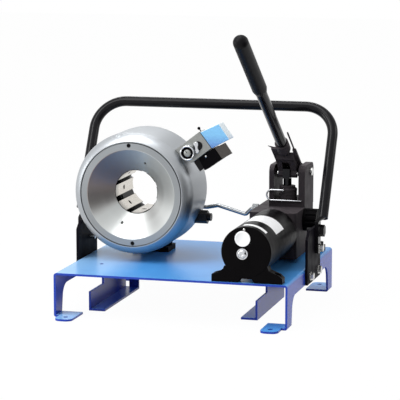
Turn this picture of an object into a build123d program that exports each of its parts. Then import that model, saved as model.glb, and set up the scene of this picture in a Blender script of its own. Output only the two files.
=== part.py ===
from build123d import *
from math import asin, cos, radians, sin, tan
import os

os.makedirs("parts", exist_ok=True)

# Table: one folded sheet with two side flanges, arches, legs and foot tabs.
TABLE_W = 450.0
TABLE_D = 400.0
TABLE_Z = 84.0
SHEET = 4.0
BEND_R = 6.0
ARCH_Z = TABLE_Z - 29.0
ARCH_HALF = TABLE_D / 2 - 35.0
ARCH_TOP_HALF = ARCH_HALF - 9.0
ARCH_R = 26.0
TAB_IN = 45.0
TAB_LOBE_X = TABLE_W / 2 - 11.0
TAB_FRONT = TABLE_D / 2 + 35.0
TAB_CORNER_R = 13.0
FOOT_HOLE_X = TABLE_W / 2 - 28.0
FOOT_HOLE_Y = TABLE_D / 2 + 14.0
FOOT_HOLE_R = 4.5
TABLE_HOLE = (59.5 - TABLE_W / 2, 91.0)
TABLE_HOLE_R = 4.0

# Support rails under the table.
RAIL_FRONT = -130.0
RAIL_STEP = -50.0
RAIL_REAR = 93.0
RAIL_STEP_Z = TABLE_Z - 47.0
RAIL_TAB_Z = TABLE_Z - 22.0
LEFT_RAIL_X = 50.0 - TABLE_W / 2
RIGHT_RAIL_X = TABLE_W / 2 - 73.0
RAIL_FLANGE = 32.0

# Carrying bow and its brackets.
BRACKET_T = 5.0
BRACKET_Y0 = -52.0
BRACKET_Y1 = 62.0
BRACKET_TOP = TABLE_Z + 73.0
BOW_R = 10.0
BOW_WALL = 2.0
BOW_X = TABLE_W / 2 + BRACKET_T + 3.0 + BOW_R
BOW_FOOT = (20.0, TABLE_Z + 89.0)
BOW_LEAN = 29.6
BOW_LENGTH = 230.6
BOW_BEND_R = 60.0
LUG_T = 7.0
LUG_HALF = 11.0
LUG_BOTTOM = TABLE_Z + 20.0
BOW_BOLT_Z = TABLE_Z + 65.0
BOW_STOP_Z = TABLE_Z + 32.0
BRACKET_BOLT_Y = (-30.0, 40.0)
BRACKET_BOLT_Z = TABLE_Z - 15.0
BOLT_GAP = 0.3

# Crimping head: axis along Y. Radii follow from the die bore outwards.
DIE_BORE_R = 42.0
DIE_DEPTH = 44.0
DIE_GAP = 10.5
DIE_COUNT = 8
DIE_Y0 = -31.9
DIE_Y1 = 80.0
DIE_TAIL_Y = 45.0
DIE_PIN_Y = 22.0
DIE_PIN_R = 4.5
BACK_R0 = DIE_BORE_R + DIE_DEPTH
BACK_TAN = 0.45
SLIDE_GAP = 0.1
RUN_GAP = 0.06
CHAMBER_R = BACK_R0 + 14.0
BARREL_WALL = 18.0
BARREL_R = CHAMBER_R + BARREL_WALL
BARREL_Y0 = -52.0
BARREL_Y1 = 56.0
SHOULDER_Y = -44.0
FACE_R = BARREL_R - 15.5
FACE_Y = -70.0
GROOVE = 1.3
GROOVE_W = 2.2
HEAD_X = BARREL_R - TABLE_W / 2 - 6.5
HEAD_Z = TABLE_Z + 15.3 + BARREL_R
FUNNEL_MOUTH_R = FACE_R - 16.0
FUNNEL_THROAT_R = DIE_BORE_R + 1.0
FUNNEL_LIP = 0.8
FUNNEL_Y = DIE_Y0 - SLIDE_GAP
RING_HOLES = (92.0, 272.0)
RING_HOLE_R = FACE_R - 8.0
RING_R = CHAMBER_R - 0.5
RING_Y0 = 0.0
RING_STEP_Y = 45.0
RING_Y1 = 82.0
CONE_END_Y = 34.0
SKIRT_R = CHAMBER_R - 16.0
SKIRT_BORE_R = DIE_BORE_R + 20.0
SLEEVE_BORE_R = SKIRT_BORE_R - 5.0
REAR_R = SKIRT_R + 12.0
REAR_Y1 = 102.0
COVER_Y1 = 116.0
COVER_SCREW_R = 6.1
COVER_CIRCLE_R = SKIRT_R - 10.0
PORT_Y = 90.0
PORT_Z = HEAD_Z - 44.3
PLUG_Y = 38.0
PLUG_DZ = -55.0

# Pedestal under the rear cylinder of the head.
PED_HALF = 37.0
PED_BLOCK_HALF = PED_HALF - 17.5
PED_Y0 = 60.0
PED_Y1 = 112.0
PED_FOOT_T = 10.0

# Crimp stop unit, in a local frame: u away from the head axis, v across, Y depth.
STOP_ANGLE = 37.5
STOP_Y0 = -44.0
STOP_Y1 = -4.0
STOP_U1 = BARREL_R + 59.0
STOP_V0 = -20.5
STOP_V1 = 18.5
KNOB_U = BARREL_R + 18.5
KNOB_V = -1.0
KNOB_R = 12.8
SCREW_U = KNOB_U + 19.5
SWITCH_V0 = STOP_V0 - 23.5
SWITCH_U = (STOP_U1 - 46.0, STOP_U1 + 3.0, STOP_U1 + 27.0)
COVER_U1 = STOP_U1 + 39.0

# Hand pump: reservoir axis along Y.
PUMP_X = TABLE_W / 2 - 78.6
PUMP_R = 47.2
PUMP_WALL = 4.0
PUMP_Z = TABLE_Z + 9.9 + PUMP_R
PUMP_Y0 = -198.0
PUMP_CAP_T = 14.0
PLUG_DX = -5.9
PLUG_DOWN = 2.6
CAST_Y0 = 9.0
CAST_Y1 = 170.0
CAST_HALF = PUMP_R - 0.6
CAST_TOP = TABLE_Z + 97.0
FOOT_T = 11.0
CHEEK_Y0 = 86.0
CHEEK_Y1 = 165.0
CHEEK_TOP = TABLE_Z + 178.0
LEVER_X = PUMP_X + 8.1
LEFT_CHEEK = (LEVER_X - 33.0, LEVER_X - 23.5)
RIGHT_CHEEK = (LEVER_X + 25.5, LEVER_X + 38.5)
FULCRUM = (138.0, TABLE_Z + 161.0)
FULCRUM_R = 8.0
PLUNGER_ARM = 35.0
PLUNGER_R = 8.0
PLUNGER_PIN_R = 5.0
SLEEVE_TOP = TABLE_Z + 137.0
LEVER_TIP = (-273.0, TABLE_Z + 445.5)
LEVER_FALL = 34.13
LEVER_DIR = (cos(radians(LEVER_FALL)), -sin(radians(LEVER_FALL)))
GRIP_R = 14.1
GRIP_L = 176.0
TUBE_R = 10.6
TUBE_WALL = 3.0
TUBE_START = 20.0
SOCKET_R = TUBE_R + 2.8
SOCKET_T0 = 388.0
SOCKET_T1 = 414.0
FORK_PLATE_T = 6.8
FORK_GAP = 0.4
RELEASE_Y = 84.0
RELEASE_Z = PUMP_Z + 16.9
RELEASE_R = 22.0
RELEASE_SHAFT_R = 6.0
CLIP_R = 1.75
PIPE_R = 4.0
PIPE_FIT = 0.05
PORT_R = 5.9
PIPE_BEND_R = 6.0
OUTLET_Z = PUMP_Z + 32.9


def box(x0, x1, y0, y1, z0, z1):
    return Pos((x0 + x1) / 2, (y0 + y1) / 2, (z0 + z1) / 2) * Box(x1 - x0, y1 - y0, z1 - z0)


def rod(start, direction, radius, length):
    plane = Plane(origin=start, z_dir=direction)
    return plane * Cylinder(radius, length, align=(Align.CENTER, Align.CENTER, Align.MIN))


def taper(start, direction, r0, r1, length):
    plane = Plane(origin=start, z_dir=direction)
    return plane * Cone(r0, r1, length, align=(Align.CENTER, Align.CENTER, Align.MIN))


def hexagon(start, direction, across, height):
    plane = Plane(origin=start, z_dir=direction)
    return extrude(plane * RegularPolygon(across / 2, 6, major_radius=False), height)


def along_y(x, z, y0, y1, radius):
    return rod((x, y0, z), (0, 1, 0), radius, y1 - y0)


def head_disc(y0, y1, radius):
    return along_y(HEAD_X, HEAD_Z, y0, y1, radius)


def side_profile(points, x0, x1):
    face = Plane.YZ.offset(x0) * Polygon(*points, align=None)
    return extrude(face, x1 - x0, dir=(1, 0, 0))


def stop_box(u0, u1, v0, v1, y0, y1):
    place = Pos(HEAD_X, 0, HEAD_Z) * Rot(0, -STOP_ANGLE, 0)
    return place * box(u0, u1, y0, y1, v0, v1)


def stop_point(u, v, y):
    a = radians(STOP_ANGLE)
    return (HEAD_X + u * cos(a) - v * sin(a), y, HEAD_Z + u * sin(a) + v * cos(a))


def lever_point(t, offset=0.0):
    y = LEVER_TIP[0] + t * LEVER_DIR[0] - offset * LEVER_DIR[1]
    z = LEVER_TIP[1] + t * LEVER_DIR[1] + offset * LEVER_DIR[0]
    return (LEVER_X, y, z)


def hex_bolt(under_head, into, shank_r, length, across, head_h):
    # A hex bolt with a washer; "into" points from the head into the hole.
    out = tuple(-c for c in into)
    head_at = tuple(p + o * 2.0 for p, o in zip(under_head, out))
    washer = rod(under_head, out, across * 0.62, 2.0)
    head = hexagon(head_at, out, across, head_h)
    return rod(under_head, into, shank_r, length) + washer + head


def save(name, *solids):
    shape = solids[0] if len(solids) == 1 else Compound(children=list(solids))
    export_step(shape, "parts/" + name + ".step")


# ---- table ----
def foot_tab(side, end):
    inner = TABLE_W / 2 - TAB_IN
    outer = TABLE_W / 2
    points = [
        (inner, ARCH_HALF - 2),
        (outer, ARCH_HALF - 2),
        (outer, TABLE_D / 2),
        (TAB_LOBE_X, TABLE_D / 2),
        (TAB_LOBE_X, TAB_FRONT),
        (inner, TAB_FRONT),
    ]
    outline = Polygon(*points, align=None)
    ends = outline.vertices().filter_by(lambda v: v.Y > TAB_FRONT - 1)
    outline = fillet(ends, TAB_CORNER_R)
    tab = extrude(outline, SHEET)
    tab -= rod((FOOT_HOLE_X, FOOT_HOLE_Y, -1), (0, 0, 1), FOOT_HOLE_R, SHEET + 2)
    if side < 0:
        tab = mirror(tab, Plane.YZ)
    if end < 0:
        tab = mirror(tab, Plane.XZ)
    return tab


def base_plate():
    w = TABLE_W / 2
    d = TABLE_D / 2
    body = box(-w, w, -d, d, 0, TABLE_Z)
    top_edges = body.edges().filter_by(Axis.Y).group_by(Axis.Z)[-1]
    body = fillet(top_edges, BEND_R)
    inside = box(-w + SHEET, w - SHEET, -d - 1, d + 1, -1, TABLE_Z - SHEET)
    in_edges = inside.edges().filter_by(Axis.Y).group_by(Axis.Z)[-1]
    body -= fillet(in_edges, BEND_R - SHEET)
    sides = [(-ARCH_HALF, -1), (ARCH_HALF, -1), (ARCH_TOP_HALF, ARCH_Z), (-ARCH_TOP_HALF, ARCH_Z)]
    arch = Polygon(*sides, align=None)
    arch = fillet(arch.vertices().group_by(Axis.Y)[-1], ARCH_R)
    body -= extrude(Plane.YZ.offset(-w - 1) * arch, TABLE_W + 2)
    for side in (-1, 1):
        for end in (-1, 1):
            body += foot_tab(side, end)
    floor_edges = body.edges().filter_by(Axis.Y).filter_by(lambda e: abs(e.center().Z) < 0.01)
    body = fillet(floor_edges.filter_by(lambda e: abs(abs(e.center().X) - w) < 0.01), SHEET)
    for y in (-TABLE_HOLE[1], TABLE_HOLE[1]):
        body -= rod((TABLE_HOLE[0], y, TABLE_Z - 10), (0, 0, 1), TABLE_HOLE_R, 20)
    for x, y in pump_bolt_places() + pedestal_bolt_places():
        body -= rod((x, y, TABLE_Z - 10), (0, 0, 1), 4.0 + BOLT_GAP, 20)
    for y in BRACKET_BOLT_Y:
        body -= rod((-w - 5, y, BRACKET_BOLT_Z), (1, 0, 0), 4.0 + BOLT_GAP, TABLE_W + 10)
    return body


def pump_bolt_places():
    front_y = PUMP_Y0 + 10
    rear_y = CAST_Y1 - 12
    front = [(PUMP_X - 56, front_y), (PUMP_X + 58, front_y)]
    rear = [(PUMP_X - 62, rear_y), (PUMP_X + 62, rear_y)]
    return front + rear


def pedestal_bolt_places():
    x = PED_HALF - 8
    return [(HEAD_X - x, PED_Y1 - 20), (HEAD_X + x, PED_Y1 - 20)]


def support_rail(face_x, toward):
    # Web, bottom flange and a folded rear end, all from one sheet.
    top = TABLE_Z - SHEET
    points = [
        (RAIL_FRONT, 0), (RAIL_REAR, 0), (RAIL_REAR, top),
        (RAIL_STEP, top), (RAIL_STEP, RAIL_STEP_Z), (RAIL_FRONT, RAIL_STEP_Z),
    ]
    web = side_profile(points, face_x - SHEET, face_x)
    if toward > 0:
        rail = web + box(face_x - SHEET, face_x + RAIL_FLANGE - SHEET, RAIL_FRONT, RAIL_REAR, 0, SHEET)
        rail += box(face_x + 8, face_x + RAIL_FLANGE - SHEET, RAIL_REAR - SHEET, RAIL_REAR, 0, RAIL_TAB_Z)
    else:
        rail = web + box(face_x - RAIL_FLANGE, face_x, RAIL_FRONT, RAIL_REAR, 0, SHEET)
        rail += box(face_x - RAIL_FLANGE, face_x - 12, RAIL_REAR - SHEET, RAIL_REAR, 0, RAIL_TAB_Z)
    return rail


# ---- carrying bow ----
def bow_bracket(side):
    x = TABLE_W / 2
    cut = 18.0
    points = [
        (BRACKET_Y0, ARCH_Z),
        (BRACKET_Y1, ARCH_Z),
        (BRACKET_Y1, BRACKET_TOP),
        (BRACKET_Y0 + cut, BRACKET_TOP),
        (BRACKET_Y0, BRACKET_TOP - 15),
    ]
    plate = side_profile(points, x, x + BRACKET_T)
    for y in BRACKET_BOLT_Y:
        plate -= rod((x - 1, y, BRACKET_BOLT_Z), (1, 0, 0), 4.0 + BOLT_GAP, BRACKET_T + 2)
    plate -= rod((x - 1, BOW_FOOT[0], BOW_BOLT_Z), (1, 0, 0), 5.0 + BOLT_GAP, BRACKET_T + 2)
    plate -= rod((x - 1, BOW_FOOT[0], BOW_STOP_Z), (1, 0, 0), 4.0 + BOLT_GAP, BRACKET_T + 2)
    return plate if side > 0 else mirror(plate, Plane.YZ)


def bow_tube(radius):
    a = radians(BOW_LEAN)
    plane = Plane(origin=(0, BOW_FOOT[0], BOW_FOOT[1]), x_dir=(1, 0, 0), z_dir=(0, -cos(a), sin(a)))
    r = BOW_BEND_R
    x = BOW_X
    s = BOW_LENGTH
    k = r * (1 - cos(radians(45)))
    legs = [
        Line((-x, 0), (-x, s - r)),
        ThreePointArc((-x, s - r), (-x + k, s - k), (-x + r, s)),
        Line((-x + r, s), (x - r, s)),
        ThreePointArc((x - r, s), (x - k, s - k), (x, s - r)),
        Line((x, s - r), (x, 0)),
    ]
    path = plane * Wire([edge for leg in legs for edge in leg.edges()])
    start = Plane(origin=path @ 0, z_dir=path % 0)
    return sweep(start * Circle(radius), path=path)


def bow_lug(side):
    x0 = TABLE_W / 2 + BRACKET_T
    y = BOW_FOOT[0]
    flat = box(x0, x0 + LUG_T, y - LUG_HALF, y + LUG_HALF, LUG_BOTTOM + LUG_HALF, BOW_FOOT[1] - 6)
    flat += rod((x0, y, LUG_BOTTOM + LUG_HALF), (1, 0, 0), LUG_HALF, LUG_T)
    low = Plane(origin=(x0 + LUG_T / 2, y, BOW_FOOT[1] - 7), z_dir=(0, 0, 1)) * Rectangle(LUG_T, 2 * LUG_HALF)
    a = radians(BOW_LEAN)
    top = Plane(origin=(BOW_X, y + 4 * sin(a), BOW_FOOT[1] + 4 * cos(a)), z_dir=(0, sin(a), cos(a)))
    high = top * Circle(BOW_R)
    flat += loft([low.face(), high.face()])
    for z, r in ((BOW_BOLT_Z, 5.0 + BOLT_GAP), (BOW_STOP_Z, 4.0 + BOLT_GAP)):
        flat -= rod((x0 - 1, y, z), (1, 0, 0), r, LUG_T + 2)
    return flat if side > 0 else mirror(flat, Plane.YZ)


def carrying_bow():
    tube = bow_tube(BOW_R) - bow_tube(BOW_R - BOW_WALL)
    return tube + bow_lug(1) + bow_lug(-1)


def side_bolts(x_under, y, z, shank_r, length, across, head_h):
    right = hex_bolt((x_under, y, z), (-1, 0, 0), shank_r, length, across, head_h)
    return [right, mirror(right, Plane.YZ)]


# ---- crimping head ----
def barrel_blank():
    # Turned outside form: flat face, rounded shoulder tangent to the side, small rear chamfer.
    reach = SHOULDER_Y - FACE_Y
    drop = BARREL_R - FACE_R
    radius = (reach ** 2 + drop ** 2) / (2 * drop)
    half = asin(reach / radius) / 2
    middle = (BARREL_R - radius * (1 - cos(half)), SHOULDER_Y - radius * sin(half))
    outline = [
        Line((0, FACE_Y), (FACE_R, FACE_Y)),
        ThreePointArc((FACE_R, FACE_Y), middle, (BARREL_R, SHOULDER_Y)),
        Line((BARREL_R, SHOULDER_Y), (BARREL_R, BARREL_Y1 - 3)),
        Line((BARREL_R, BARREL_Y1 - 3), (BARREL_R - 3, BARREL_Y1)),
        Line((BARREL_R - 3, BARREL_Y1), (0, BARREL_Y1)),
        Line((0, BARREL_Y1), (0, FACE_Y)),
    ]
    section = make_face(Curve() + outline)
    return Pos(HEAD_X, 0, HEAD_Z) * revolve(section, Axis.Y, 360)


def head_barrel():
    body = barrel_blank()
    body -= head_disc(FACE_Y - 1, DIE_Y0 - SLIDE_GAP, FACE_R - GROOVE)
    body -= head_disc(DIE_Y0 - SLIDE_GAP - 1, RING_STEP_Y + 1.0, CHAMBER_R)
    body -= head_disc(RING_STEP_Y, BARREL_Y1 + 1, SKIRT_R)
    body -= rod((HEAD_X + CHAMBER_R - 20, PLUG_Y, HEAD_Z + PLUG_DZ), (1, 0, 0), 6.0, 40)
    return body


def rear_cylinder():
    body = head_disc(BARREL_Y1, REAR_Y1, REAR_R)
    body -= head_disc(BARREL_Y1 - 1, REAR_Y1 + 1, SKIRT_R)
    return body - rod((HEAD_X + SKIRT_R - 18, PORT_Y, PORT_Z), (1, 0, 0), 6.0, 30)


def front_ring():
    y1 = DIE_Y0 - SLIDE_GAP
    ring = head_disc(FACE_Y, y1, FACE_R - GROOVE - GROOVE_W) + head_disc(FACE_Y + 8, y1, FACE_R - GROOVE)
    ring -= head_disc(FACE_Y - 1, y1 + 1, FUNNEL_MOUTH_R + FUNNEL_LIP)
    for a in RING_HOLES:
        t = radians(a)
        at = (HEAD_X + RING_HOLE_R * cos(t), FACE_Y - 1, HEAD_Z + RING_HOLE_R * sin(t))
        ring -= rod(at, (0, 1, 0), 4.05, 13)
    return ring


def front_funnel():
    y1 = DIE_Y0 - SLIDE_GAP
    funnel = head_disc(FACE_Y, y1, FUNNEL_MOUTH_R + FUNNEL_LIP)
    cone = taper((HEAD_X, FACE_Y, HEAD_Z), (0, 1, 0), FUNNEL_MOUTH_R, FUNNEL_THROAT_R, FUNNEL_Y - FACE_Y)
    funnel -= cone
    funnel -= head_disc(FACE_Y - 1, y1 + 1, FUNNEL_THROAT_R)
    for t in (68.0, 248.0):
        reach = FUNNEL_THROAT_R + 20
        at = (HEAD_X + reach * cos(radians(t)), FACE_Y, HEAD_Z + reach * sin(radians(t)))
        funnel -= rod(at, (0, 1, 0), 2.6, 34)
    return funnel


def ring_screws():
    screws = []
    for a in RING_HOLES:
        t = radians(a)
        at = (HEAD_X + RING_HOLE_R * cos(t), FACE_Y + 1.5, HEAD_Z + RING_HOLE_R * sin(t))
        screw = rod(at, (0, 1, 0), 4.0, 10.4)
        screw -= extrude(Plane(origin=at, z_dir=(0, 1, 0)) * RegularPolygon(2.0, 6), 3)
        screws.append(screw)
    return screws


def master_die(index):
    # Wedge segment: curved bore face, flat sides, inclined back for the cone and a plain tail behind it.
    y0, y1 = DIE_Y0, DIE_Y1
    half = radians(180 / DIE_COUNT)
    back0 = BACK_R0 - SLIDE_GAP
    back1 = back0 - BACK_TAN * (DIE_TAIL_Y - y0)
    reach = BACK_R0 + 5
    inner = DIE_BORE_R * 0.6
    lift = DIE_GAP / 2 / cos(half)
    wedge = Plane.XZ * Polygon(
        (inner, inner * tan(half) - lift),
        (inner, -inner * tan(half) + lift),
        (reach, -reach * tan(half) + lift),
        (reach, reach * tan(half) - lift),
        align=None,
    )
    body = Pos(0, y0, 0) * extrude(wedge, y1 - y0, dir=(0, 1, 0))
    slope = Plane.XY * Polygon(
        (back0, y0),
        (back1, DIE_TAIL_Y),
        (back1, y1 + 5),
        (reach + 60, y1 + 5),
        (reach + 60, y0 - 5),
        (back0, y0 - 5),
        align=None,
    )
    body -= extrude(slope, 100, both=True)
    body -= rod((0, y0 - 1, 0), (0, 1, 0), DIE_BORE_R, y1 - y0 + 2)
    body -= rod((DIE_BORE_R - 2, DIE_PIN_Y, 0), (1, 0, 0), DIE_PIN_R, 7)
    return Pos(HEAD_X, 0, HEAD_Z) * Rot(0, -index * 360 / DIE_COUNT, 0) * body


def ring_piston():
    body = head_disc(RING_Y0, RING_STEP_Y, RING_R) + head_disc(RING_STEP_Y - 1, RING_Y1, SKIRT_R - RUN_GAP)
    apothem0 = BACK_R0 - BACK_TAN * (RING_Y0 - DIE_Y0)
    apothem1 = BACK_R0 - BACK_TAN * (CONE_END_Y - DIE_Y0)
    front = Plane(origin=(HEAD_X, RING_Y0, HEAD_Z), x_dir=(1, 0, 0), z_dir=(0, 1, 0))
    back = Plane(origin=(HEAD_X, CONE_END_Y, HEAD_Z), x_dir=(1, 0, 0), z_dir=(0, 1, 0))
    turn = Rot(0, 0, 180 / DIE_COUNT)
    a = front * turn * RegularPolygon(apothem0, DIE_COUNT, major_radius=False)
    b = back * turn * RegularPolygon(apothem1, DIE_COUNT, major_radius=False)
    body -= loft([a.face(), b.face()])
    body -= head_disc(CONE_END_Y, RING_Y1 + 1, SKIRT_BORE_R)
    return body


def rear_cover():
    cover = head_disc(REAR_Y1, COVER_Y1, REAR_R)
    outer = cover.edges().filter_by(GeomType.CIRCLE).sort_by(Axis.Y)[-1]
    cover = chamfer(outer, 3.0)
    cover += head_disc(REAR_Y1 - 8, REAR_Y1, SKIRT_R)
    cover += head_disc(DIE_TAIL_Y + 2, REAR_Y1, SKIRT_BORE_R - RUN_GAP)
    cover -= head_disc(DIE_TAIL_Y, COVER_Y1 + 1, SLEEVE_BORE_R)
    for a in range(6):
        t = radians(a * 60)
        at = (HEAD_X + COVER_CIRCLE_R * cos(t), COVER_Y1 - 8, HEAD_Z + COVER_CIRCLE_R * sin(t))
        cover -= rod(at, (0, 1, 0), COVER_SCREW_R, 9)
    return cover


def cover_screws():
    screws = []
    for a in range(6):
        t = radians(a * 60)
        at = (HEAD_X + COVER_CIRCLE_R * cos(t), COVER_Y1 - 8, HEAD_Z + COVER_CIRCLE_R * sin(t))
        screw = rod(at, (0, 1, 0), COVER_SCREW_R, 7.5)
        socket = Plane(origin=(at[0], COVER_Y1 - 4, at[2]), z_dir=(0, 1, 0))
        screws.append(screw - extrude(socket * RegularPolygon(3.5, 6), 6))
    return screws


def head_pedestal():
    x0 = HEAD_X - PED_HALF
    x1 = HEAD_X + PED_HALF
    foot = box(x0, x1, PED_Y0, PED_Y1, TABLE_Z, TABLE_Z + PED_FOOT_T)
    block = box(HEAD_X - PED_BLOCK_HALF, HEAD_X + PED_BLOCK_HALF, PED_Y0, PED_Y1, TABLE_Z, HEAD_Z - REAR_R + 12)
    body = foot + block - head_disc(PED_Y0 - 1, PED_Y1 + 1, REAR_R)
    for x, y in pedestal_bolt_places():
        body -= rod((x, y, TABLE_Z - 1), (0, 0, 1), 4.0 + BOLT_GAP, PED_FOOT_T + 4)
    return body


def inlet_fitting():
    x = HEAD_X + (REAR_R ** 2 - (HEAD_Z - PORT_Z) ** 2) ** 0.5
    fitting = hexagon((x - 2, PORT_Y, PORT_Z), (1, 0, 0), 19.0, 13.0)
    fitting -= head_disc(PORT_Y - 20, PORT_Y + 20, REAR_R)
    fitting += rod((x - 8, PORT_Y, PORT_Z), (1, 0, 0), PORT_R, 22.0)
    fitting -= rod((x - 9, PORT_Y, PORT_Z), (1, 0, 0), PIPE_R + PIPE_FIT, 40.0)
    return fitting


def blanking_plug():
    z = HEAD_Z + PLUG_DZ
    x = HEAD_X + (BARREL_R ** 2 - PLUG_DZ ** 2) ** 0.5
    plug = hexagon((x - 14, PLUG_Y, z), (1, 0, 0), 23.0, 34.0)
    plug -= head_disc(PLUG_Y - 20, PLUG_Y + 20, BARREL_R)
    plug += rod((x - 8, PLUG_Y, z), (1, 0, 0), 5.9, 12.0)
    plug += rod((x + 20, PLUG_Y, z), (1, 0, 0), 7.6, 7.0)
    return plug


# ---- crimp stop unit ----
def stop_block():
    body = stop_box(BARREL_R - 18, STOP_U1, STOP_V0, STOP_V1, STOP_Y0, STOP_Y1)
    body -= head_disc(STOP_Y0 - 1, STOP_Y1 + 1, BARREL_R)
    body -= rod(stop_point(KNOB_U, KNOB_V, STOP_Y0 - 1), (0, 1, 0), 5.05, 20)
    body -= rod(stop_point(SCREW_U, KNOB_V, STOP_Y0 - 1), (0, 1, 0), 4.0, 12)
    return body


def stop_dial():
    at = stop_point(KNOB_U, KNOB_V, STOP_Y0 - 14)
    dial = rod(at, (0, 1, 0), KNOB_R, 13.7)
    dial -= rod(at, (0, 1, 0), KNOB_R - 2.6, 5.0)
    dial += rod(at, (0, 1, 0), 6.6, 6.0)
    shaft = rod(stop_point(KNOB_U, KNOB_V, STOP_Y0 - 1), (0, 1, 0), 5.0, 17)
    return dial + shaft


def lock_screw():
    at = stop_point(SCREW_U, KNOB_V, STOP_Y0 - 9)
    screw = rod(at, (0, 1, 0), 5.6, 9.0) + rod(at, (0, 1, 0), 3.95, 18.0)
    return screw - rod(stop_point(SCREW_U, KNOB_V, STOP_Y0 - 10), (0, 1, 0), 2.6, 5.0)


def switch_box():
    return stop_box(SWITCH_U[0], SWITCH_U[1], SWITCH_V0, STOP_V0, STOP_Y0 + 2, STOP_Y1 - 2)


def switch_end():
    return stop_box(SWITCH_U[1], SWITCH_U[2], SWITCH_V0 - 1.5, STOP_V0 - 1.5, STOP_Y0 + 3, STOP_Y1 - 3)


def end_cover():
    body = stop_box(STOP_U1, COVER_U1, STOP_V0, STOP_V1 - 3, STOP_Y0 + 1, STOP_Y1 + 6)
    corner = stop_point(STOP_U1 + 4, STOP_V1 - 3, 0)
    tilt = Pos(*corner) * Rot(0, 12, 0) * Pos(-corner[0], -corner[1], -corner[2])
    cut = tilt * stop_box(STOP_U1 + 4, COVER_U1 + 30, STOP_V1 - 3, 60, STOP_Y0 - 9, STOP_Y1 + 19)
    return body - cut


def release_wire():
    foot = stop_point(STOP_U1 - 3, STOP_V1, -22)
    tip = stop_point(STOP_U1 - 3, STOP_V1 + 7, -22)
    wire = rod(foot, tuple(b - a for a, b in zip(foot, tip)), 1.0, 7.0)
    return wire + Pos(*tip) * Rot(0, 0, 90) * Sphere(3.0)


# ---- hand pump ----
def pump_reservoir():
    y0 = PUMP_Y0 + PUMP_CAP_T
    tube = along_y(PUMP_X, PUMP_Z, y0, CAST_Y0, PUMP_R)
    return tube - along_y(PUMP_X, PUMP_Z, y0 + 2, CAST_Y0 + 1, PUMP_R - PUMP_WALL)


def pump_end_cap():
    # Round cap on a casting whose shoulders fall to two feet, with a shallow arch between them.
    cap = along_y(PUMP_X, PUMP_Z, PUMP_Y0, PUMP_Y0 + PUMP_CAP_T, PUMP_R)
    rim = cap.edges().filter_by(GeomType.CIRCLE).sort_by(Axis.Y)[0]
    cap = fillet(rim, 2.5)
    z = TABLE_Z
    outline = [
        (-65.4, z), (-15.4, z), (-11.0, z + 7.5), (10.5, z + 7.5), (16.0, z), (68.0, z),
        (68.0, z + 10.5), (61.0, z + 16.5), (43.0, z + 23.5), (38.6, z + 34.0),
        (-41.5, z + 30.0), (-43.9, z + 24.5), (-52.1, z + 18.0), (-65.4, z + 14.0),
    ]
    shape = Plane.XZ * Polygon(*[(PUMP_X + x, h) for x, h in outline], align=None)
    feet = Pos(0, PUMP_Y0 + 1, 0) * extrude(shape, 21, dir=(0, 1, 0))
    ends = feet.edges().filter_by(Axis.Y).group_by(Axis.X)
    feet = fillet([e for e in ends[0] + ends[-1] if e.center().Z > z + 5], 3.0)
    cap += feet
    cap -= along_y(PUMP_X, PUMP_Z, PUMP_Y0 + PUMP_CAP_T, PUMP_Y0 + 23, PUMP_R)
    cap -= rod((PUMP_X + PLUG_DX, PUMP_Y0 - 1, PUMP_Z - PLUG_DOWN), (0, 1, 0), 8.0, 9)
    for x, y in pump_bolt_places()[:2]:
        cap -= rod((x, y, z - 1), (0, 0, 1), 4.0 + BOLT_GAP, 30)
        cap -= rod((x, y, z + 5), (0, 0, 1), 6.8, 30)
    return cap


def filler_plug():
    at = (PUMP_X + PLUG_DX, PUMP_Y0 - 5, PUMP_Z - PLUG_DOWN)
    plug = rod(at, (0, 1, 0), 10.4, 5.0) + rod(at, (0, 1, 0), 7.9, 12.0)
    socket = Plane(origin=at, z_dir=(0, 1, 0)) * RegularPolygon(5.0, 6)
    return plug - extrude(socket, 6)


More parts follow.
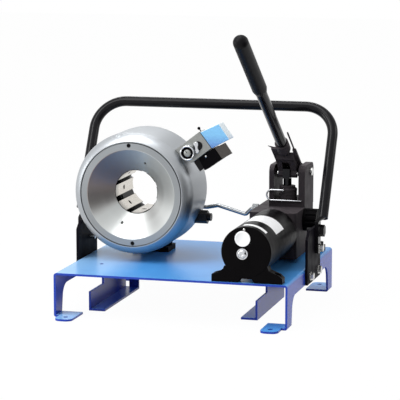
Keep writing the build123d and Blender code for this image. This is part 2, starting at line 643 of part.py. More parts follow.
def pump_head():
    x0 = PUMP_X - CAST_HALF
    x1 = PUMP_X + CAST_HALF
    body = box(x0, x1, CAST_Y0, CAST_Y1, TABLE_Z + 8, CAST_TOP)
    vertical = body.edges().filter_by(Axis.Z)
    body = fillet(vertical, 8)
    body += along_y(PUMP_X, PUMP_Z, CAST_Y0, CAST_Y0 + 20, PUMP_R)
    foot = box(PUMP_X - 71, PUMP_X + 71, CAST_Y1 - 24, CAST_Y1, TABLE_Z, TABLE_Z + FOOT_T)
    body += foot + box(x0 + 10, x1 - 10, CAST_Y0 + 40, CAST_Y1, TABLE_Z, TABLE_Z + 12)
    for cx0, cx1 in (LEFT_CHEEK, RIGHT_CHEEK):
        cheek = box(cx0, cx1, CHEEK_Y0, CHEEK_Y1, CAST_TOP - 1, CHEEK_TOP)
        ends = cheek.edges().filter_by(Axis.X).group_by(Axis.Z)[-1]
        body += fillet(ends, 14)
    body += box(LEFT_CHEEK[0], RIGHT_CHEEK[1], CHEEK_Y0, CHEEK_Y1, CAST_TOP - 1, CAST_TOP + 12)
    px = LEVER_X
    py = FULCRUM[0] - PLUNGER_ARM
    body += rod((px, py, CAST_TOP - 1), (0, 0, 1), 15.5, SLEEVE_TOP - CAST_TOP + 1)
    groove = rod((px, py, SLEEVE_TOP - 7), (0, 0, 1), 17.0, 1.5)
    body -= groove - rod((px, py, SLEEVE_TOP - 8), (0, 0, 1), 14.5, 4)
    body -= rod((px, py, CAST_TOP - 40), (0, 0, 1), PLUNGER_R + RUN_GAP, 80)
    across = RIGHT_CHEEK[1] - LEFT_CHEEK[0] + 2
    body -= rod((LEFT_CHEEK[0] - 1, FULCRUM[0], FULCRUM[1]), (1, 0, 0), FULCRUM_R, across)
    body -= rod((x1 - 20, RELEASE_Y, RELEASE_Z), (1, 0, 0), RELEASE_SHAFT_R + RUN_GAP, 21)
    body -= rod((x0 - 1, PORT_Y, OUTLET_Z), (1, 0, 0), PORT_R, 13)
    for x, y in pump_bolt_places()[2:]:
        body -= rod((x, y, TABLE_Z - 1), (0, 0, 1), 4.0 + BOLT_GAP, FOOT_T + 2)
    return body


def fulcrum_pin():
    x0 = LEFT_CHEEK[0] - 3
    x1 = RIGHT_CHEEK[1] + 4
    pin = rod((x0, FULCRUM[0], FULCRUM[1]), (1, 0, 0), FULCRUM_R, x1 - x0)
    ends = pin.edges().filter_by(GeomType.CIRCLE)
    return chamfer(ends, 1.0)


def release_knob():
    x = PUMP_X + CAST_HALF
    knob = rod((x + 0.3, RELEASE_Y, RELEASE_Z), (1, 0, 0), RELEASE_R, 26.7)
    for a in range(12):
        t = radians(30 * a)
        at = (x + 5.0, RELEASE_Y + (RELEASE_R + 1.5) * cos(t), RELEASE_Z + (RELEASE_R + 1.5) * sin(t))
        knob -= rod(at, (1, 0, 0), 3.5, 40)
    return knob + rod((x - 18, RELEASE_Y, RELEASE_Z), (1, 0, 0), RELEASE_SHAFT_R, 20)


def lever_outline(points):
    return [lever_point(t, offset)[1:] for t, offset in points]


def lever_beam():
    # Fork: a flat web under the socket, a neck block, two outer plates to the fulcrum, two ears for the pin.
    x0 = LEFT_CHEEK[1] + FORK_GAP
    x1 = RIGHT_CHEEK[0] - FORK_GAP
    d = (0, LEVER_DIR[0], LEVER_DIR[1])
    web = lever_outline([(404, -1), (404, -6), (468, -6), (468, -1)])
    neck = lever_outline([(424, -2), (430, -15), (444, -15), (458, -4), (490, -4), (490, -1)])
    plate = lever_outline([
        (408, -1), (408, -5), (455, -6), (474, -9), (484, -18), (496, -20),
        (509, -16), (514, -6), (508, 5), (494, 7), (470, -1),
    ])
    ear = lever_outline([
        (436, -13), (461.8, -24), (465, -31.5), (470.8, -33.5), (477, -31), (480, -24), (486, -6), (456, -4),
    ])
    fork = side_profile(web, x0, LEVER_X + 9.5)
    fork += side_profile(neck, x0 + 6.5, x1 - 6.5)
    fork += side_profile(plate, x0, x0 + FORK_PLATE_T) + side_profile(plate, x1 - FORK_PLATE_T, x1)
    fork += side_profile(ear, x0 + 6.0, LEVER_X - 7.6) + side_profile(ear, LEVER_X + 7.6, x1 - 6.0)
    fork += rod(lever_point(SOCKET_T0), d, SOCKET_R, SOCKET_T1 - SOCKET_T0)
    fork += taper(lever_point(SOCKET_T1), d, SOCKET_R, 9.0, 14)
    stay = lever_point(338, -3)
    fork += rod((x1 - FORK_PLATE_T / 2, stay[1], stay[2]), d, 1.6, 76)
    corner = lever_point(406, -3)
    fork += taper((x0 + 6, corner[1], corner[2]), (-0.948, 0, 0.319), 2.4, 0.6, 13.2)
    fork -= rod(lever_point(SOCKET_T0 - 1), d, TUBE_R, SOCKET_T1 - SOCKET_T0 - 3)
    fork -= rod((x0 - 1, FULCRUM[0], FULCRUM[1]), (1, 0, 0), FULCRUM_R + RUN_GAP, 70)
    fork -= rod((x0 - 1, FULCRUM[0] - PLUNGER_ARM, FULCRUM[1]), (1, 0, 0), PLUNGER_PIN_R, 70)
    return fork


def plunger_pin():
    x0 = LEFT_CHEEK[1] + 4.0
    x1 = RIGHT_CHEEK[0] - 4.0
    return rod((x0, FULCRUM[0] - PLUNGER_ARM, FULCRUM[1]), (1, 0, 0), PLUNGER_PIN_R, x1 - x0)


def plunger():
    # Round rod with a flattened eye; the slot lets the pin swing while the rod moves straight.
    y = FULCRUM[0] - PLUNGER_ARM
    z = FULCRUM[1]
    body = rod((LEVER_X, y, CAST_TOP - 20), (0, 0, 1), PLUNGER_R, z - CAST_TOP + 10)
    body += box(LEVER_X - 7, LEVER_X + 7, y - 13, y + 13, z - 9, z + 10)
    slot_h = PLUNGER_PIN_R + 0.65
    slot = box(LEVER_X - 9, LEVER_X + 9, y - 4, y + 4, z - slot_h, z + slot_h)
    for end in (y - 4, y + 4):
        slot += rod((LEVER_X - 9, end, z), (1, 0, 0), slot_h, 18)
    return body - slot


def lever_tube():
    d = (0, LEVER_DIR[0], LEVER_DIR[1])
    tube = rod(lever_point(TUBE_START), d, TUBE_R, SOCKET_T1 - 4 - TUBE_START)
    return tube - rod(lever_point(TUBE_START + 10), d, TUBE_R - TUBE_WALL, SOCKET_T1 - TUBE_START - 20)


def lever_grip():
    d = (0, LEVER_DIR[0], LEVER_DIR[1])
    grip = rod(lever_point(0), d, GRIP_R, GRIP_L - 8) + Pos(*lever_point(0)) * Sphere(GRIP_R)
    grip += taper(lever_point(GRIP_L - 8), d, GRIP_R, TUBE_R + 1.2, 12)
    return grip - rod(lever_point(TUBE_START), d, TUBE_R, GRIP_L)


def wire_clip():
    y = CHEEK_Y0 - CLIP_R
    z0 = CAST_TOP + 12.5
    z1 = CAST_TOP + 32.7
    x = LEFT_CHEEK[0] + 5.8
    mid = (z0 + z1) / 2
    r = (z1 - z0) / 2
    wire = Line((x + 59, z0), (x, z0)).edges() + ThreePointArc((x, z0), (x - r, mid), (x, z1)).edges()
    wire += Line((x, z1), (x + 24, z1)).edges()
    plane = Plane(origin=(0, y, 0), x_dir=(1, 0, 0), z_dir=(0, -1, 0))
    path = plane * Wire(wire)
    return sweep(Plane(origin=path @ 0, z_dir=path % 0) * Circle(CLIP_R), path=path)


def steel_pipe():
    y = PORT_Y
    x0 = HEAD_X + (REAR_R ** 2 - (HEAD_Z - PORT_Z) ** 2) ** 0.5 - 6
    x1 = PUMP_X - CAST_HALF + 8
    points = [
        (x0, y, PORT_Z), (x0 + 30, y, PORT_Z), (x0 + 52, y, PORT_Z + 4.5),
        (x1 - 34, y, OUTLET_Z - 12), (x1 - 22, y, OUTLET_Z), (x1, y, OUTLET_Z),
    ]
    path = FilletPolyline(*points, radius=PIPE_BEND_R)
    return sweep(Plane(origin=path @ 0, z_dir=path % 0) * Circle(PIPE_R), path=path)


def pipe_nut():
    x1 = PUMP_X - CAST_HALF
    nut = hexagon((x1 - 12, PORT_Y, OUTLET_Z), (1, 0, 0), 17.0, 12.0)
    nut += rod((x1, PORT_Y, OUTLET_Z), (1, 0, 0), 5.85, 9.0)
    return nut - rod((x1 - 13, PORT_Y, OUTLET_Z), (1, 0, 0), PIPE_R + PIPE_FIT, 30)


def foot_bolts(places, top):
    return [hex_bolt((x, y, top), (0, 0, -1), 4.0, top - TABLE_Z + SHEET + 1, 13.0, 5.5) for x, y in places]


def cap_screws(places, top):
    # Socket screws sunk in the counterbores of the front feet.
    screws = []
    for x, y in places:
        screw = rod((x, y, top), (0, 0, 1), 6.5, 6.0)
        screw -= hexagon((x, y, top + 3), (0, 0, 1), 6.0, 4.0)
        screws.append(screw + rod((x, y, top + 1), (0, 0, -1), 4.0, top + 1 - TABLE_Z + SHEET + 1))
    return screws


def build():
    save("base_plate", base_plate())
    save("left_support_rail", support_rail(LEFT_RAIL_X, 1))
    save("right_support_rail", support_rail(RIGHT_RAIL_X, -1))
    save("left_bow_bracket", bow_bracket(-1))
    save("right_bow_bracket", bow_bracket(1))
    save("carrying_bow", carrying_bow())
    outer = TABLE_W / 2 + BRACKET_T
    save("bow_upper_bolts", *side_bolts(outer + LUG_T, BOW_FOOT[0], BOW_BOLT_Z, 5.0, 24, 20.0, 8.0))
    save("bow_lower_bolts", *side_bolts(outer + LUG_T, BOW_FOOT[0], BOW_STOP_Z, 4.0, 22, 13.0, 6.0))
    bracket = [b for y in BRACKET_BOLT_Y for b in side_bolts(outer, y, BRACKET_BOLT_Z, 4.0, 16, 13.0, 5.5)]
    save("bracket_bolts", *bracket)
    save("head_barrel", head_barrel())
    save("rear_cylinder", rear_cylinder())
    save("front_ring", front_ring())
    save("front_funnel", front_funnel())
    save("ring_screws", *ring_screws())
    for i in range(DIE_COUNT):
        save("master_die_" + str(i + 1), master_die(i))
    save("ring_piston", ring_piston())
    save("rear_cover", rear_cover())
    save("cover_screws", *cover_screws())
    save("head_pedestal", head_pedestal())
    save("pedestal_bolts", *foot_bolts(pedestal_bolt_places(), TABLE_Z + PED_FOOT_T))
    save("inlet_fitting", inlet_fitting())
    save("blanking_plug", blanking_plug())
    save("stop_block", stop_block())
    save("stop_dial", stop_dial())
    save("lock_screw", lock_screw())
    save("switch_box", switch_box())
    save("switch_end", switch_end())
    save("end_cover", end_cover())
    save("release_wire", release_wire())
    save("pump_reservoir", pump_reservoir())
    save("pump_end_cap", pump_end_cap())
    save("filler_plug", filler_plug())
    save("pump_head", pump_head())
    save("fulcrum_pin", fulcrum_pin())
    save("release_knob", release_knob())
    save("lever_beam", lever_beam())
    save("plunger_pin", plunger_pin())
    save("plunger", plunger())
    save("lever_tube", lever_tube())
    save("lever_grip", lever_grip())
    save("wire_clip", wire_clip())
    save("steel_pipe", steel_pipe())
    save("pipe_nut", pipe_nut())
    places = pump_bolt_places()
    save("pump_bolts", *cap_screws(places[:2], TABLE_Z + 5), *foot_bolts(places[2:], TABLE_Z + FOOT_T))


build()
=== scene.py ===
import math

import bmesh
import bpy
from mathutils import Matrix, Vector


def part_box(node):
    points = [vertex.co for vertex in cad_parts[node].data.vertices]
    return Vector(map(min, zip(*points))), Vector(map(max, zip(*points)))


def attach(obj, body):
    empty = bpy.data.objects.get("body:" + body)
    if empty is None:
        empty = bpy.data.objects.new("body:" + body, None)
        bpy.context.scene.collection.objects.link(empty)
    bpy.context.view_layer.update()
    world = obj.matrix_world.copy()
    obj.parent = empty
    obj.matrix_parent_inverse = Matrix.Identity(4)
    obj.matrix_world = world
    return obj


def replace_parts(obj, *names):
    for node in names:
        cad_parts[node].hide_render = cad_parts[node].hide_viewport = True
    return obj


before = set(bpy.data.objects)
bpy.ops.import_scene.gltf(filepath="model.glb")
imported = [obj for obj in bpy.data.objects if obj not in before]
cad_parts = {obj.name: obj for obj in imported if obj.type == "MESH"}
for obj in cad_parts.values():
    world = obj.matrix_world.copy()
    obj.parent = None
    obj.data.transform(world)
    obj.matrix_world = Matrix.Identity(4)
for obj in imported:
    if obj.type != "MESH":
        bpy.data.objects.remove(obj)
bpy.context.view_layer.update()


# ---- camera ----
CAMERA_TARGET = Vector((0.00509, 0.0, 0.20133))
CAMERA_AZIMUTH = math.radians(15.386)
CAMERA_HEIGHT = math.radians(9.082)
CAMERA_DISTANCE = 3.87506
CAMERA_LENS = 180.6
FILM_WIDTH = 36.0


def add_camera():
    away = Vector((
        math.sin(CAMERA_AZIMUTH) * math.cos(CAMERA_HEIGHT),
        -math.cos(CAMERA_AZIMUTH) * math.cos(CAMERA_HEIGHT),
        math.sin(CAMERA_HEIGHT),
    ))
    data = bpy.data.cameras.new("camera")
    data.lens = CAMERA_LENS
    data.sensor_width = FILM_WIDTH
    cam = bpy.data.objects.new("camera", data)
    bpy.context.scene.collection.objects.link(cam)
    cam.location = CAMERA_TARGET + away * CAMERA_DISTANCE
    cam.rotation_euler = (-away).to_track_quat("-Z", "Y").to_euler()
    bpy.context.scene.camera = cam


add_camera()


# ---- places of the machine, in metres, from the CAD boxes ----
def long_axis(name):
    """Where a round node's axis along Y crosses X and Z, and the node's radius."""
    low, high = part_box(name)
    centre = Vector(((low[0] + high[0]) / 2, 0.0, (low[2] + high[2]) / 2))
    return centre, (high[0] - low[0]) / 2


HEAD, _ = long_axis("front_ring")
PUMP, PUMP_R = long_axis("pump_reservoir")
CAP_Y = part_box("pump_end_cap")[0][1]
DIE_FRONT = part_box("master_die_1")[0][1]
STOP_ANGLE = math.radians(37.5)


# ---- materials ----
BLEND = {"data_type": "RGBA"}
# A colour blend takes its factor at input 0 and its colours at inputs 6 and 7, and gives the colour at output 2.
BLENDED = 2


def linear(code):
    """An sRGB hex value as linear colour."""
    code = code.lstrip("#")
    values = [int(code[i:i + 2], 16) / 255 for i in (0, 2, 4)]
    curve = (v / 12.92 if v <= 0.04045 else ((v + 0.055) / 1.055) ** 2.4 for v in values)
    return tuple(curve) + (1.0,)


def shaded(code, factor, lift=0.0):
    """A hex colour made darker or lighter, no brighter than white."""
    return tuple(min(1.0, c * factor + lift) for c in linear(code)[:3]) + (1.0,)


def per_metre(size_mm):
    """The scale at which a pattern's marks are size_mm across."""
    return 1000.0 / size_mm


def link(owner, source, target, socket):
    owner.node_tree.links.new(source[0].outputs[source[1]], target.inputs[socket])


def node(owner, kind, settings=None, **links):
    """Adds one node. settings are its properties. links are its inputs, by name or as i0, i1 and so on: each is a
    value, or a pair of another node and the name or number of its output."""
    made = owner.node_tree.nodes.new(kind)
    for key, value in (settings or {}).items():
        setattr(made, key, value)
    for key, value in links.items():
        socket = int(key[1:]) if key[0] == "i" and key[1:].isdigit() else key.replace("_", " ")
        if isinstance(value, tuple) and hasattr(value[0], "outputs"):
            link(owner, value, made, socket)
        else:
            made.inputs[socket].default_value = value
    return made


def new_material(name, rough, metallic=0.0, **sockets):
    mat = bpy.data.materials.new(name)
    mat.use_nodes = True
    shader = mat.node_tree.nodes["Principled BSDF"]
    shader.inputs["Roughness"].default_value = rough
    shader.inputs["Metallic"].default_value = metallic
    for key, value in sockets.items():
        shader.inputs[key.replace("_", " ")].default_value = value
    return mat, shader


TABLE_PALE_FROM, TABLE_PALE_TO = -0.08, -0.23
COVER_DEEP_FROM, COVER_DEEP_TO = 0.335, 0.305


def coated_sheet(name, deep, light, rough, level, steep=0.9, left_end=None, low_edge=None):
    # Powder coat on folded steel: an even gloss colour with a faint orange-peel ripple. Faces that look up are
    # painted paler than the upright ones, as a gloss coat looks under an open sky or a large soft box.
    mat, shader = new_material(name, rough, Specular_IOR_Level=level)
    coords = node(mat, "ShaderNodeTexCoord")
    facing = node(mat, "ShaderNodeSeparateXYZ", Vector=(coords, "Normal"))
    place = node(mat, "ShaderNodeSeparateXYZ", Vector=(coords, "Object"))
    upward = node(mat, "ShaderNodeMapRange", Value=(facing, "Z"), From_Min=0.1, From_Max=steep)
    cloud = node(mat, "ShaderNodeTexNoise", Vector=(coords, "Object"), Scale=per_metre(90.0), Detail=2.0)
    uneven = node(
        mat, "ShaderNodeMapRange", Value=(cloud, "Fac"), From_Min=0.3, From_Max=0.7, To_Min=0.85, To_Max=1.0,
    )
    amount = node(mat, "ShaderNodeMath", {"operation": "MULTIPLY"}, i0=(upward, "Result"), i1=(uneven, "Result"))
    pale = linear(light)
    if left_end:
        # Painted light: the top is painted paler towards its free left end, away from the shade of the pump.
        along = node(
            mat, "ShaderNodeMapRange", Value=(place, "X"), From_Min=TABLE_PALE_FROM, From_Max=TABLE_PALE_TO,
        )
        pale = (node(mat, "ShaderNodeMix", BLEND, i0=(along, "Result"), i6=pale, i7=linear(left_end)), BLENDED)
    colour = node(mat, "ShaderNodeMix", BLEND, i0=(amount, "Value"), i6=linear(deep), i7=pale)
    if low_edge:
        # Painted shade: the colour deepens towards the lower edge, which faces the dark switch.
        down = node(
            mat, "ShaderNodeMapRange", Value=(place, "Z"), From_Min=COVER_DEEP_FROM, From_Max=COVER_DEEP_TO,
        )
        colour = node(
            mat, "ShaderNodeMix", BLEND, i0=(down, "Result"), i6=(colour, BLENDED), i7=linear(low_edge),
        )
    link(mat, (colour, BLENDED), shader, "Base Color")
    # Real orange peel is 1 to 2 mm across; it is drawn at 4 mm so that it still softens the gloss.
    peel = node(mat, "ShaderNodeTexNoise", Vector=(coords, "Object"), Scale=per_metre(4.0), Detail=2.0)
    ripple = node(mat, "ShaderNodeBump", Height=(peel, "Fac"), Strength=0.04, Distance=0.00006)
    link(mat, (ripple, "Normal"), shader, "Normal")
    return mat


def off_axis(mat, coords):
    """The way from the head's axis out to the point shaded."""
    shifted = node(mat, "ShaderNodeVectorMath", {"operation": "SUBTRACT"}, i0=(coords, "Object"), i1=HEAD)
    return node(mat, "ShaderNodeVectorMath", {"operation": "MULTIPLY"}, i0=(shifted, "Vector"), i1=(1.0, 0.0, 1.0))


BORE_OIL_AND_SHADE = "#1B1A19"
UPPER_LEFT = (-0.80, 0.0, 0.60)


def turned_steel(name, colour, rough, line_mm, anisotropic, bore=None, upper_left=None):
    # Lathe-turned steel: fine rings round the axis spread the light across them into soft bands.
    mat, shader = new_material(name, rough, 1.0, Anisotropic=anisotropic, Anisotropic_Rotation=0.25)
    turn = node(mat, "ShaderNodeTangent", {"direction_type": "RADIAL", "axis": "Y"})
    link(mat, (turn, "Tangent"), shader, "Tangent")
    coords = node(mat, "ShaderNodeTexCoord")
    place = node(mat, "ShaderNodeSeparateXYZ", Vector=(coords, "Object"))
    outward = off_axis(mat, coords)
    radius = node(mat, "ShaderNodeVectorMath", {"operation": "LENGTH"}, i0=(outward, "Vector"))
    along = node(mat, "ShaderNodeMath", {"operation": "ADD"}, i0=(place, "Y"), i1=(radius, "Value"))
    point = node(mat, "ShaderNodeCombineXYZ", X=(along, "Value"))
    # Real feed marks are 0.2 mm apart; they are drawn coarser so that they show as faint rings.
    rings = node(mat, "ShaderNodeTexNoise", Vector=(point, "Vector"), Scale=per_metre(line_mm), Detail=1.0)
    shade = node(mat, "ShaderNodeMix", BLEND, i0=(rings, "Fac"), i6=shaded(colour, 0.92), i7=linear(colour))
    if bore:
        # Inside the bore the steel is painted dark: it is dark with oil, and the colour also holds painted shade,
        # since the bore is out of the light.
        inside = node(
            mat, "ShaderNodeMapRange", Value=(radius, "Value"), From_Min=bore, From_Max=bore - 0.001,
        )
        shade = node(
            mat, "ShaderNodeMix", BLEND, i0=(inside, "Result"), i6=(shade, BLENDED), i7=linear(BORE_OIL_AND_SHADE),
        )
    if upper_left:
        # Painted shade: a darker, warmer tint on the upper left of the cone, which also tones down the blue it
        # mirrors from the table.
        unit = node(mat, "ShaderNodeVectorMath", {"operation": "NORMALIZE"}, i0=(outward, "Vector"))
        toward = node(
            mat, "ShaderNodeVectorMath", {"operation": "DOT_PRODUCT"}, i0=(unit, "Vector"), i1=UPPER_LEFT,
        )
        tinted = node(mat, "ShaderNodeMapRange", Value=(toward, "Value"), From_Min=0.3, From_Max=1.0)
        shade = node(
            mat, "ShaderNodeMix", BLEND, i0=(tinted, "Result"), i6=(shade, BLENDED), i7=linear(upper_left),
        )
    link(mat, (shade, BLENDED), shader, "Base Color")
    gloss = node(
        mat, "ShaderNodeMapRange", Value=(rings, "Fac"), From_Min=0.3, From_Max=0.7,
        To_Min=rough * 0.93, To_Max=rough * 1.07,
    )
    link(mat, (gloss, "Result"), shader, "Roughness")
    ridges = node(mat, "ShaderNodeBump", Height=(rings, "Fac"), Strength=0.03, Distance=0.00002)
    link(mat, (ridges, "Normal"), shader, "Normal")
    return mat


DIE_SHADED_LENGTH = 0.022


def ground_die():
    # Black-oxide tool steel with a ground working face: only the face that looks at the hose is bright. Its front
    # end is painted darker, as painted shade from the funnel, so the eight dies read apart.
    mat, shader = new_material("ground_die_steel", 0.26, 1.0)
    coords = node(mat, "ShaderNodeTexCoord")
    place = node(mat, "ShaderNodeSeparateXYZ", Vector=(coords, "Object"))
    outward = off_axis(mat, coords)
    unit = node(mat, "ShaderNodeVectorMath", {"operation": "NORMALIZE"}, i0=(outward, "Vector"))
    facing = node(
        mat, "ShaderNodeVectorMath", {"operation": "DOT_PRODUCT"}, i0=(coords, "Normal"), i1=(unit, "Vector"),
    )
    working = node(mat, "ShaderNodeMapRange", Value=(facing, "Value"), From_Min=-0.7, From_Max=-0.9)
    lit = node(
        mat, "ShaderNodeMapRange", Value=(place, "Y"), From_Min=DIE_FRONT, From_Max=DIE_FRONT + DIE_SHADED_LENGTH,
        To_Min=0.35, To_Max=1.0,
    )
    ground_face_in_light = node(mat, "ShaderNodeMath", {"operation": "MULTIPLY"}, i0=(working, "Result"), i1=(lit, "Result"))
    # Grinding lines run along the die. Real ones are under 0.1 mm apart; they are drawn at 1.5 mm.
    lengthwise = node(mat, "ShaderNodeMapping", Vector=(coords, "Object"), Scale=(1.0, 0.08, 1.0))
    lines = node(mat, "ShaderNodeTexNoise", Vector=(lengthwise, "Vector"), Scale=per_metre(1.5), Detail=2.0)
    bright = node(mat, "ShaderNodeMix", BLEND, i0=(lines, "Fac"), i6=linear("#C4BEB4"), i7=linear("#DEDAD2"))
    colour = node(
        mat, "ShaderNodeMix", BLEND, i0=(ground_face_in_light, "Value"), i6=linear("#1A1817"), i7=(bright, BLENDED),
    )
    link(mat, (colour, BLENDED), shader, "Base Color")
    ridges = node(mat, "ShaderNodeBump", Height=(lines, "Fac"), Strength=0.03, Distance=0.00002)
    link(mat, (ridges, "Normal"), shader, "Normal")
    return mat


def enamel(name, colour, rough, level, grain_mm, strength, topside=None):
    # Sprayed black enamel over steel or a casting: deep and glossy, uneven where the metal under it is rough.
    mat, shader = new_material(name, rough, Specular_IOR_Level=level)
    coords = node(mat, "ShaderNodeTexCoord")
    cloud = node(mat, "ShaderNodeTexNoise", Vector=(coords, "Object"), Scale=per_metre(25.0), Detail=3.0)
    mix = node(
        mat, "ShaderNodeMix", BLEND, i0=(cloud, "Fac"), i6=linear(colour), i7=shaded(colour, 1.5, 0.001),
    )
    if topside:
        # Painted light: faces that look up are painted greyer, for the light they catch on a rough cast skin.
        facing = node(mat, "ShaderNodeSeparateXYZ", Vector=(coords, "Normal"))
        upward = node(mat, "ShaderNodeMapRange", Value=(facing, "Z"), From_Min=0.15, From_Max=0.8)
        mix = node(
            mat, "ShaderNodeMix", BLEND, i0=(upward, "Result"), i6=(mix, BLENDED), i7=linear(topside),
        )
    link(mat, (mix, BLENDED), shader, "Base Color")
    gloss = node(
        mat, "ShaderNodeMapRange", Value=(cloud, "Fac"), From_Min=0.35, From_Max=0.65,
        To_Min=rough * 0.85, To_Max=rough * 1.15,
    )
    link(mat, (gloss, "Result"), shader, "Roughness")
    grain = node(mat, "ShaderNodeTexNoise", Vector=(coords, "Object"), Scale=per_metre(grain_mm), Detail=2.0)
    skin = node(mat, "ShaderNodeBump", Height=(grain, "Fac"), Strength=strength, Distance=0.0001)
    link(mat, (skin, "Normal"), shader, "Normal")
    return mat


def plated(name, colour, rough, mottle_mm):
    # Plated or drawn steel: bright, with a faint mottle from the bath or the die.
    mat, shader = new_material(name, rough, 1.0)
    coords = node(mat, "ShaderNodeTexCoord")
    cloud = node(mat, "ShaderNodeTexNoise", Vector=(coords, "Object"), Scale=per_metre(mottle_mm), Detail=3.0)
    mix = node(mat, "ShaderNodeMix", BLEND, i0=(cloud, "Fac"), i6=shaded(colour, 0.82), i7=linear(colour))
    link(mat, (mix, BLENDED), shader, "Base Color")
    gloss = node(
        mat, "ShaderNodeMapRange", Value=(cloud, "Fac"), From_Min=0.3, From_Max=0.7,
        To_Min=rough * 0.75, To_Max=rough * 1.3,
    )
    link(mat, (gloss, "Result"), shader, "Roughness")
    return mat


def moulded(name, colour, rough, level=0.3, grain_mm=0.8, strength=0.3, metallic=0.0):
    # Moulded or cast in one go: even colour with a fine matt grain that breaks up the highlights.
    mat, shader = new_material(name, rough, metallic, Specular_IOR_Level=level)
    coords = node(mat, "ShaderNodeTexCoord")
    cloud = node(mat, "ShaderNodeTexNoise", Vector=(coords, "Object"), Scale=per_metre(12.0), Detail=3.0)
    mix = node(
        mat, "ShaderNodeMix", BLEND, i0=(cloud, "Fac"), i6=linear(colour), i7=shaded(colour, 1.3, 0.001),
    )
    link(mat, (mix, BLENDED), shader, "Base Color")
    grain = node(mat, "ShaderNodeTexNoise", Vector=(coords, "Object"), Scale=per_metre(grain_mm), Detail=2.0)
    skin = node(mat, "ShaderNodeBump", Height=(grain, "Fac"), Strength=strength, Distance=0.00015)
    link(mat, (skin, "Normal"), shader, "Normal")
    return mat


# Table and feet: gloss blue, nearly no haze. Cover: a paler blue with a stronger gloss.
POWDER_BLUE = coated_sheet(
    "powder_coated_sheet_blue", "#2642A8", "#529FE6", 0.26, level=0.16, left_end="#96C6F2",
)
COVER_BLUE = coated_sheet(
    "powder_coated_cover_blue", "#7CBCE8", "#F4FCFF", 0.3, level=0.5, steep=0.5, low_edge="#567CC4",
)
# Head: satin barrel, a flatter grey ring faced square to the axis, and a brighter cone inside it.
TURNED = turned_steel("satin_turned_steel", "#B4B8BC", 0.42, 1.6, 0.5, bore=0.0595)
FACED = turned_steel("faced_steel_ring", "#9EA2A5", 0.38, 1.2, 0.6)
CONE = turned_steel("turned_steel_funnel", "#CDD0CF", 0.38, 1.2, 0.5, upper_left="#8A7872")
DIE = ground_die()
# The ring piston shows only in the gaps between the dies: it is painted near black and not metallic, as painted
# shade for those gaps, over its own oiled steel.
PISTON_OIL_AND_SHADE = moulded("oiled_piston_painted_shade", "#0B0A09", 0.6, level=0.05, grain_mm=2.0, strength=0.1)
# Blacks, from the glossiest to the flattest, so that tube, tank, plate and casting read apart.
ENAMEL = enamel("black_enamel", "#0E0D10", 0.16, level=0.14, grain_mm=2.0, strength=0.03)
GLOSS_ENAMEL = enamel("gloss_black_enamel", "#050405", 0.34, level=0.035, grain_mm=3.0, strength=0.02)
BLACKENED = enamel("blackened_steel", "#0E0D10", 0.34, level=0.15, grain_mm=1.5, strength=0.06)
BRACKET_PAINT = enamel("satin_black_paint", "#0D0B11", 0.5, level=0.02, grain_mm=3.0, strength=0.05)
CAST_ENAMEL = enamel(
    "black_enamel_on_casting", "#322E31", 0.5, level=0.03, grain_mm=3.5, strength=0.1, topside="#4A4548",
)
# Bright metals: zinc is greyer and softer than chromium, and the drawn pipe is darker than both.
ZINC_PLATE = plated("zinc_plated_steel", "#D2D2D0", 0.26, 4.0)
CHROME = plated("chromium_plated_steel", "#D4D6DA", 0.10, 8.0)
DRAWN = plated("drawn_steel_tube", "#A8ABAE", 0.20, 10.0)
RAM = plated("oiled_ram_steel", "#2A2A2C", 0.3, 6.0)
ZINC_CAST = moulded("die_cast_zinc", "#8A8C8A", 0.38, grain_mm=1.2, strength=0.1, metallic=0.8)
# Plastics: matt nylon mouldings, a vinyl grip with a coarser skin, and smooth vinyl labels.
NYLON = moulded("moulded_black_nylon", "#060507", 0.55, level=0.03)
NYLON_BROWN = moulded("moulded_brown_nylon", "#45413E", 0.45, level=0.2)
SOFT_GRIP = moulded("soft_black_vinyl", "#0C0B0E", 0.42, level=0.1, grain_mm=1.6, strength=0.2)
LABEL = moulded("blank_white_vinyl", "#EDEFF1", 0.35, grain_mm=2.0, strength=0.03)

NODE_MATERIALS = {
    POWDER_BLUE: ("base_plate", "left_support_rail", "right_support_rail"),
    COVER_BLUE: ("end_cover",),
    TURNED: ("head_barrel", "rear_cylinder", "rear_cover"),
    FACED: ("front_ring",),
    CONE: ("front_funnel",),
    DIE: tuple("master_die_%d" % i for i in range(1, 9)),
    PISTON_OIL_AND_SHADE: ("ring_piston",),
    ENAMEL: ("carrying_bow", "lever_tube"),
    BRACKET_PAINT: ("left_bow_bracket", "right_bow_bracket", "head_pedestal"),
    CAST_ENAMEL: ("pump_head", "lever_beam"),
    GLOSS_ENAMEL: ("pump_reservoir", "pump_end_cap"),
    BLACKENED: (
        "bow_upper_bolts", "ring_screws", "inlet_fitting", "blanking_plug", "pedestal_bolts", "pump_bolts",
    ),
    ZINC_PLATE: ("bow_lower_bolts", "bracket_bolts", "cover_screws", "fulcrum_pin", "plunger_pin"),
    RAM: ("plunger",),
    CHROME: ("filler_plug", "lock_screw", "wire_clip"),
    DRAWN: ("steel_pipe", "pipe_nut"),
    ZINC_CAST: ("stop_block", "stop_dial"),
    NYLON: ("switch_box", "release_knob", "release_wire"),
    NYLON_BROWN: ("switch_end",),
    SOFT_GRIP: ("lever_grip",),
}


def dress(obj, mat):
    obj.data.materials.clear()
    obj.data.materials.append(mat)


for material, names in NODE_MATERIALS.items():
    for name in names:
        dress(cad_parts[name], material)


# ---- mesh helpers ----
def placed(name, mesh, mat):
    """Makes an object of a finished bmesh, dresses it and puts it in the scene."""
    data = bpy.data.meshes.new(name)
    mesh.to_mesh(data)
    mesh.free()
    obj = bpy.data.objects.new(name, data)
    bpy.context.scene.collection.objects.link(obj)
    dress(obj, mat)
    return obj


def add_piece(name, mesh, mat, body):
    obj = placed(name, mesh, mat)
    for face in obj.data.polygons:
        face.use_smooth = True
    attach(obj, body)
    return obj


def skin(mesh, first, second):
    """Faces between two rows of as many points each."""
    for k in range(len(first) - 1):
        mesh.faces.new((first[k], first[k + 1], second[k + 1], second[k]))


